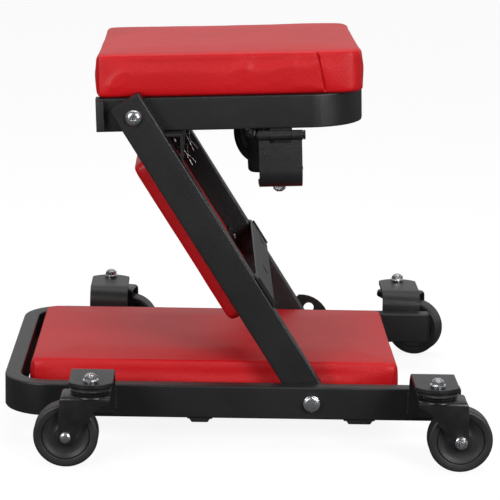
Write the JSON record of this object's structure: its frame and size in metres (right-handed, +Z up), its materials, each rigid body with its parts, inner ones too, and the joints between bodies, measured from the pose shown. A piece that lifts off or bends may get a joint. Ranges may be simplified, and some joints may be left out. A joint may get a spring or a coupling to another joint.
{
  "type": "folding mechanics creeper",
  "caption": "Three-section folding mechanics creeper that stands as a Z-shaped rolling seat or lies flat on swivel casters.",
  "frame": {"origin": "on the floor under the middle of the object as it stands as a Z-shaped seat, its base wheels resting on z = 0", "axes": "+X along the length from the closed end of the base frame towards its open end, +Z up, -Y the near side"},
  "size_m": [0.5755, 0.5761, 0.4734],
  "materials": {
    "black_paint": "black powder coat, fine texture, satin",
    "red_vinyl": "red upholstery vinyl with a fine leather grain over foam",
    "plywood": "plain plywood",
    "zinc": "bright zinc plate",
    "wheel_rubber": "moulded black, slightly worn",
    "black_plastic": "moulded black plastic",
    "caster_steel": "black zinc plated stamped steel"
  },
  "bodies": {
    "base": {"base_frame": "black_paint", "base_end_cap_near": "black_plastic", "base_end_cap_far": "black_plastic", "base_strap_left": "black_paint", "base_strap_right": "black_paint", "base_board": "plywood", "base_pad": "red_vinyl", "lock_plate": "black_paint", "lower_pivot_bolt_near": "zinc", "lower_pivot_bolt_far": "zinc", "caster_bracket_near_left": "black_paint", "caster_bracket_near_right": "black_paint", "caster_bracket_far_left": "black_paint", "caster_bracket_far_right": "black_paint", "kingpin_near_left": "zinc", "kingpin_near_right": "zinc", "kingpin_far_left": "zinc", "kingpin_far_right": "zinc", "race_near_left": "caster_steel", "race_near_right": "caster_steel", "race_far_left": "caster_steel", "race_far_right": "caster_steel"},
    "middle": {"strut_near": "black_paint", "strut_far": "black_paint", "cross_plate": "black_paint", "stop_angle": "black_paint", "mid_board": "plywood", "mid_pad": "red_vinyl", "upper_pivot_bolt_near": "zinc", "upper_pivot_bolt_far": "zinc"},
    "seat": {"seat_frame": "black_paint", "seat_board": "plywood", "seat_pad": "red_vinyl", "head_hinge_pin_near": "zinc", "head_hinge_pin_far": "zinc"},
    "head_arm_near": {"head_bracket_near": "black_paint", "kingpin_head_near": "zinc", "race_head_near": "caster_steel"},
    "head_arm_far": {"head_bracket_far": "black_paint", "kingpin_head_far": "zinc", "race_head_far": "caster_steel"},
    "fork_near_left": {"fork_near_left": "caster_steel", "axle_near_left": "zinc"},
    "wheel_near_left": {"wheel_near_left": "wheel_rubber"},
    "fork_near_right": {"fork_near_right": "caster_steel", "axle_near_right": "zinc"},
    "wheel_near_right": {"wheel_near_right": "wheel_rubber"},
    "fork_far_left": {"fork_far_left": "caster_steel", "axle_far_left": "zinc"},
    "wheel_far_left": {"wheel_far_left": "wheel_rubber"},
    "fork_far_right": {"fork_far_right": "caster_steel", "axle_far_right": "zinc"},
    "wheel_far_right": {"wheel_far_right": "wheel_rubber"},
    "fork_head_near": {"fork_head_near": "caster_steel", "axle_head_near": "zinc"},
    "wheel_head_near": {"wheel_head_near": "wheel_rubber"},
    "fork_head_far": {"fork_head_far": "caster_steel", "axle_head_far": "zinc"},
    "wheel_head_far": {"wheel_head_far": "wheel_rubber"}
  },
  "joints": [
    {"name": "middle_fold", "type": "hinge", "parent": "base", "child": "middle", "pos_m": [0.081, 0, 0.055], "axis": [0, 1, 0], "range_deg": [0, 121.7]},
    {"name": "seat_fold", "type": "hinge", "parent": "middle", "child": "seat", "pos_m": [-0.13468, 0, 0.39187], "axis": [0, 1, 0], "range_deg": [-120.4, 0]},
    {"name": "head_arm_fold_near", "type": "hinge", "parent": "seat", "child": "head_arm_near", "pos_m": [0.03726, -0.152, 0.37175], "axis": [-0.9992, 0, -0.0401], "range_deg": [0, 174]},
    {"name": "head_arm_fold_far", "type": "hinge", "parent": "seat", "child": "head_arm_far", "pos_m": [0.03726, 0.152, 0.37175], "axis": [0.9992, 0, 0.0401], "range_deg": [0, 174]},
    {"name": "swivel_near_left", "type": "hinge", "parent": "base", "child": "fork_near_left", "pos_m": [-0.178, -0.2625, 0.099], "axis": [0, 0, 1], "continuous": true},
    {"name": "swivel_near_right", "type": "hinge", "parent": "base", "child": "fork_near_right", "pos_m": [0.222, -0.2625, 0.099], "axis": [0, 0, 1], "continuous": true},
    {"name": "swivel_far_left", "type": "hinge", "parent": "base", "child": "fork_far_left", "pos_m": [-0.178, 0.2625, 0.099], "axis": [0, 0, 1], "continuous": true},
    {"name": "swivel_far_right", "type": "hinge", "parent": "base", "child": "fork_far_right", "pos_m": [0.222, 0.2625, 0.099], "axis": [0, 0, 1], "continuous": true},
    {"name": "swivel_head_near", "type": "hinge", "parent": "head_arm_near", "child": "fork_head_near", "pos_m": [0.04004, -0.08638, 0.30257], "axis": [0.0399, -0.1045, -0.9937], "range_deg": [-75, 160]},
    {"name": "swivel_head_far", "type": "hinge", "parent": "head_arm_far", "child": "fork_head_far", "pos_m": [0.04004, 0.08638, 0.30257], "axis": [0.0399, 0.1045, -0.9937], "range_deg": [-160, 75]},
    {"name": "roll_near_left", "type": "hinge", "parent": "fork_near_left", "child": "wheel_near_left", "pos_m": [-0.206, -0.2625, 0.0375], "axis": [0, 1, 0], "continuous": true},
    {"name": "roll_near_right", "type": "hinge", "parent": "fork_near_right", "child": "wheel_near_right", "pos_m": [0.25, -0.2625, 0.0375], "axis": [0, -1, 0], "continuous": true},
    {"name": "roll_far_left", "type": "hinge", "parent": "fork_far_left", "child": "wheel_far_left", "pos_m": [-0.15043, 0.25764, 0.0375], "axis": [-0.1736, -0.9848, 0], "continuous": true},
    {"name": "roll_far_right", "type": "hinge", "parent": "fork_far_right", "child": "wheel_far_right", "pos_m": [0.24738, 0.25067, 0.0375], "axis": [-0.4226, -0.9063, 0], "continuous": true},
    {"name": "roll_head_near", "type": "hinge", "parent": "fork_head_near", "child": "wheel_head_near", "pos_m": [0.01789, -0.06026, 0.36082], "axis": [-0.7095, -0.7032, 0.0455], "continuous": true},
    {"name": "roll_head_far", "type": "hinge", "parent": "fork_head_far", "child": "wheel_head_far", "pos_m": [0.01789, 0.06026, 0.36082], "axis": [0.7095, -0.7032, -0.0455], "continuous": true}
  ],
  "couplings": [
    {"joint": "seat_fold", "follows": "middle_fold", "ratio": -0.9885}
  ]
}
